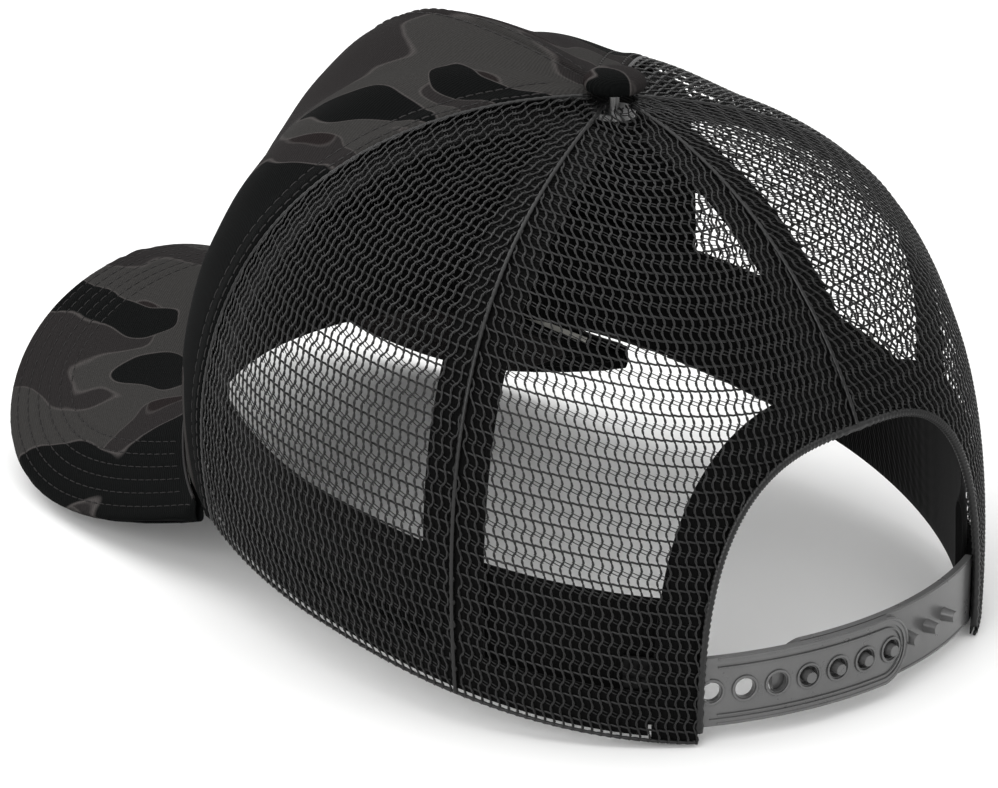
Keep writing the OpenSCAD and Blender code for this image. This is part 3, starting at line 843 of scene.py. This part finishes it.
def make_brim():
    u, v = brim_grid()
    distance = brim_edge_distance(u, v)
    rows = sum(np.exp(-(((distance - r) / 0.42) ** 2)) for r in BRIM_ROWS)
    puff = 0.07 * np.cos(2 * np.pi * (distance - BRIM_ROWS[0]) / 3.4) * (distance < 22)
    relief = -0.14 * rows - puff * 0.6
    roll = brim_roll(distance)
    flat = brim_flat(u, v)
    top = shell(
        "brim_top_cloth", brim_at(u, v, relief - roll), brim_at(u, v, -COVER - 0.85 * roll), CAMO, flat,
    )
    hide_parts("brim_top_cover")
    low = -2 * COVER - BOARD - 2 * LAYER_GAP
    under = shell(
        "brim_under_cloth",
        brim_at(u, v, low + COVER + 0.85 * roll), brim_at(u, v, low - relief + roll),
        CAMO, flat,
    )
    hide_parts("brim_under_cover")
    k = np.linspace(-0.999, 0.999, 500)
    columns = signed_power(k, 1.55)[:, None]
    steps = np.linspace(0, 1, 120)[None, :]
    cu, cv = np.broadcast_arrays(columns, steps)
    away = brim_edge_distance(cu, cv)
    paths_top, paths_low = [], []
    for r in BRIM_ROWS:
        line = []
        for i in range(len(k)):
            if away[i, 0] > r + 0.5:
                line.append((columns[i, 0], float(np.interp(-r, -away[i], steps[0]))))
        line = np.array(line)
        at = brim_face(line[:, 0], line[:, 1])
        s = np.concatenate([[0], np.cumsum(np.linalg.norm(np.diff(at, axis=0), axis=1))])
        start, length, gap = 0.4, 2.3, 0.65
        while start + length < s[-1]:
            d = start + np.linspace(0, 1, 6) * length
            lift = 0.12 * np.sin(np.pi * np.linspace(0, 1, 6)) - 0.2
            uv = np.interp(d, s, line[:, 0]), np.interp(d, s, line[:, 1])
            paths_top.append(brim_at(*uv, lift))
            paths_low.append(brim_at(*uv, low - lift))
            start += length + gap
    for name, paths in (("brim_top_stitching", paths_top), ("brim_under_stitching", paths_low)):
        points, quads = tubes(paths, 0.17, 0.15)
        piece = make_piece(name, points, quads, THREAD)
    seam_u = np.linspace(-0.985, 0.985, 260)
    root = brim_at(seam_u, np.zeros(260), np.full(260, -0.15))
    points, quads = tubes([root], 0.42, 0.42, 6)
    piece = make_piece("brim_root_welt", points, quads, THREAD)


# ---- Button ----

def make_button():
    """Cloth-covered button with gathered pleats round its side."""
    base = CROWN_HEIGHT + 0.9
    profile = np.array([
        (5.6, 0.35), (6.6, 0.3), (7.05, 0.8), (7.25, 1.7), (7.15, 2.7), (6.75, 3.5), (6.0, 4.1),
        (4.9, 4.5), (3.4, 4.75), (1.8, 4.87), (0.05, 4.9),
    ])
    s = np.concatenate([[0], np.cumsum(np.linalg.norm(np.diff(profile, axis=0), axis=1))])
    d = np.linspace(0, s[-1], 60)
    r, z = np.interp(d, s, profile[:, 0]), np.interp(d, s, profile[:, 1])
    for _ in range(2):
        r[1:-1] = (r[:-2] + 2 * r[1:-1] + r[2:]) / 4
        z[1:-1] = (z[:-2] + 2 * z[1:-1] + z[2:]) / 4
    turn = np.linspace(0, 2 * np.pi, 241)[:-1]
    side = np.exp(-(((z - 1.6) / 1.5) ** 2))
    pleat = 0.26 * side[:, None] * np.abs(np.sin(turn * 15 + 0.4 * np.sin(turn * 4)))[None, :]
    loose = 0.08 * np.sin(turn * 3 + 1)[None, :] * side[:, None]
    radius = r[:, None] - 0.2 + pleat + loose
    x, y = radius * np.cos(turn), radius * np.sin(turn)
    outer = np.stack([x, y + BUTTON_BACK, base + z[:, None] + 0 * x], -1)
    inner = np.stack([0.92 * x, 0.92 * y + BUTTON_BACK, base + z[:, None] * 0.92 + 0.15 + 0 * x], -1)
    points = np.concatenate([outer.reshape(-1, 3), inner.reshape(-1, 3)])
    rows, cols = len(r), len(turn)
    i, j = (g.ravel() for g in np.meshgrid(np.arange(rows - 1), np.arange(cols), indexing="ij"))
    k = (j + 1) % cols
    n = rows * cols
    out = np.stack([i * cols + j, i * cols + k, (i + 1) * cols + k, (i + 1) * cols + j], 1)
    back = np.stack([i * cols + j, (i + 1) * cols + j, (i + 1) * cols + k, i * cols + k], 1) + n
    c = np.arange(cols)
    e = (c + 1) % cols
    foot = np.stack([c, n + c, n + e, e], 1)
    top_row = (rows - 1) * cols
    tip = np.stack([top_row + c, top_row + e, n + top_row + e, n + top_row + c], 1)
    flat = np.stack([points[:, 0] + 40, points[:, 1] + 20], 1)
    piece = make_piece("button_cloth", points, np.concatenate([out, back, foot, tip]), CAMO, flat=flat)
    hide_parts("button_cover")


# ---- Details of the snap straps ----

STRAP_CENTRE, STRAP_OUTER, STRAP_THICK, STRAP_GAP = (-3.0, 0.3), 96.0, 1.6, 0.4
STRAP_MIDDLE, STRAP_WIDTH, SNAP_PITCH, FIRST_ARC = 12.8, 16.5, 8.0, -49.0
HOLE_RADIUS, TIP_BACK = 2.3, 2.2


def on_strap(along, z, radius):
    """Point on a strap: along is the arc length from the middle of the back, towards the wearer's right."""
    a = math.pi / 2 + np.asarray(along) / STRAP_OUTER
    x = STRAP_CENTRE[0] + radius * np.cos(a)
    return np.stack(np.broadcast_arrays(x, STRAP_CENTRE[1] + radius * np.sin(a), z), -1)


def ring_bead(centre, ring_radius, bead, radius):
    """Closed raised ring of the strap face round a snap hole."""
    turn = np.linspace(0, 2 * np.pi, 41)[:-1]
    cross = 2 * np.pi * np.arange(8) / 8
    out = ring_radius + bead * np.cos(cross)[None, :]
    along = centre + out * np.cos(turn)[:, None]
    z = STRAP_MIDDLE + out * np.sin(turn)[:, None]
    points = on_strap(along, z, radius + 0.6 * bead * np.sin(cross)[None, :])
    i, j = (g.ravel() for g in np.meshgrid(np.arange(40), np.arange(8), indexing="ij"))
    m, k = (i + 1) % 40, (j + 1) % 8
    return points.reshape(-1, 3), np.stack([i * 8 + j, i * 8 + k, m * 8 + k, m * 8 + j], 1)


def joined(parts):
    points, quads, base = [], [], 0
    for p, q in parts:
        points.append(p)
        quads.append(q + base)
        base += len(p)
    return np.concatenate(points), np.concatenate(quads)


def make_strap_details():
    rings = []
    for k in range(7):
        centre = FIRST_ARC + SNAP_PITCH * k
        rings.append(ring_bead(centre, HOLE_RADIUS + 0.55, 0.32, STRAP_OUTER - 0.02))
    points, quads = joined(rings)
    piece = make_piece("hole_strap_rims", points, quads, PLASTIC_PAINTED_SHEEN, body="hole_strap")
    last = FIRST_ARC + SNAP_PITCH * 6 - TIP_BACK
    parts = []
    for inset, bead in ((0.45, 0.3), (2.5, 0.2)):
        half = STRAP_WIDTH / 2 - inset
        straight = np.linspace(-47.5, last, 120)
        bend = np.linspace(-np.pi / 2, np.pi / 2, 40)[1:-1]
        along = np.concatenate([straight, last + half * np.cos(bend), straight[::-1]])
        z = STRAP_MIDDLE + np.concatenate([np.full(120, -half), half * np.sin(bend), np.full(120, half)])
        line = on_strap(along, z, STRAP_OUTER)
        parts.append(tubes([line], bead, bead, 6))
    points, quads = joined(parts)
    piece = make_piece("hole_strap_borders", points, quads, PLASTIC_PAINTED_SHEEN, body="hole_strap")
    inner = STRAP_OUTER - STRAP_THICK - STRAP_GAP
    parts = []
    for side in (-1, 1):
        along = np.linspace(FIRST_ARC + SNAP_PITCH * 3 + 2, 35, 120)
        line = on_strap(along, np.full(120, STRAP_MIDDLE + side * (STRAP_WIDTH / 2 - 0.5)), inner)
        parts.append(tubes([line], 0.28, 0.28, 6))
    points, quads = joined(parts)
    piece = make_piece("peg_strap_borders", points, quads, PLASTIC_PAINTED_SHEEN, body="peg_strap")


# ---- CAD nodes that stay ----

def dress(node, material, sharp=35):
    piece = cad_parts[node]
    piece.data.materials.clear()
    piece.data.materials.append(material)
    piece.data.polygons.foreach_set("use_smooth", np.ones(len(piece.data.polygons), bool))
    piece.data.set_sharp_from_angle(angle=math.radians(sharp))


def dress_nodes():
    for node in ("hole_strap", "peg_strap"):
        dress(node, PLASTIC_PAINTED_SHEEN)
    for node in ("hole_strap_tab", "peg_strap_tab"):
        dress(node, TAB_PLASTIC)
    for node in ("button_core", "button_rivet", "button_back_cap"):
        dress(node, METAL)
    for node in ("hole_strap_stitches", "peg_strap_stitches"):
        dress(node, THREAD)
    dress("brim_board", BOARD_CARD)


# ---- Stage ----

def make_floor():
    bpy.ops.mesh.primitive_plane_add(size=8.0, location=(0, 0, FLOOR_Z * MM))
    floor = bpy.context.object
    floor.name = "floor"
    paint = Paint("floor", (0.86, 0.86, 0.855, 1.0), 0.75, specular=0.2)
    tone = paint.noise(paint.place(), 3.0, 1.0)
    shaded = paint.node("VectorMath", {"operation": "SCALE"}, i_0=(0.87, 0.87, 0.865),
                        i_3=paint.math("MULTIPLY_ADD", tone, 0.02, 0.98))
    paint.feed(paint.bsdf.inputs["Base Color"], shaded)
    floor.data.materials.append(paint.material)


def area_light(name, place, target, size, energy):
    data = bpy.data.lights.new(name, "AREA")
    data.shape, data.size, data.energy = "SQUARE", size, energy
    lamp = bpy.data.objects.new(name, data)
    bpy.context.scene.collection.objects.link(lamp)
    lamp.location = place
    lamp.rotation_euler = (Vector(target) - Vector(place)).to_track_quat("-Z", "Y").to_euler()


def make_lights():
    world = bpy.data.worlds.new("studio")
    bpy.context.scene.world = world
    world.use_nodes = True
    backdrop = world.node_tree.nodes["Background"]
    backdrop.inputs["Color"].default_value = (1.0, 1.0, 1.0, 1.0)
    backdrop.inputs["Strength"].default_value = 0.95
    area_light("top", (0.1, 0.0, 1.3), (0, 0, 0.05), 1.5, 9.0)
    area_light("back", (1.1, 0.5, 0.7), (0, 0, 0.06), 0.7, 7.0)
    area_light("left", (0.2, -1.2, 0.9), (0, 0, 0.06), 0.8, 5.0)


CAMERA_TARGET = (0.0, -20.0, 60.0)
CAMERA_AZIMUTH, CAMERA_ELEVATION, CAMERA_DISTANCE = 135.4, 21.9, 1200.0
CAMERA_SIDE, CAMERA_LIFT, CAMERA_ROLL, CAMERA_LENS = -5.65, -17.4, 0.5, 183.1


def make_camera():
    a, e = math.radians(CAMERA_AZIMUTH), math.radians(CAMERA_ELEVATION)
    right = Vector((math.cos(a), math.sin(a), 0))
    back = Vector((math.sin(a) * math.cos(e), -math.cos(a) * math.cos(e), math.sin(e)))
    up = back.cross(right)
    place = Vector(CAMERA_TARGET) + back * CAMERA_DISTANCE + right * CAMERA_SIDE + up * CAMERA_LIFT
    r = math.radians(CAMERA_ROLL)
    rolled = right * math.cos(r) + up * math.sin(r)
    top = up * math.cos(r) - right * math.sin(r)
    data = bpy.data.cameras.new("camera")
    data.lens, data.sensor_width = CAMERA_LENS, 36.0
    data.clip_start, data.clip_end = 0.05, 50.0
    camera = bpy.data.objects.new("camera", data)
    bpy.context.scene.collection.objects.link(camera)
    turn = Matrix((rolled, top, back)).transposed().to_4x4()
    camera.matrix_world = Matrix.Translation(place * MM) @ turn
    bpy.context.scene.camera = camera


make_camera()
make_floor()
make_lights()
make_front_panel()
make_front_stitches()
make_inner_layers()
make_binding()
make_mesh()
make_brim()
make_button()
make_strap_details()
dress_nodes()
bpy.context.scene.view_settings.view_transform = "Standard"
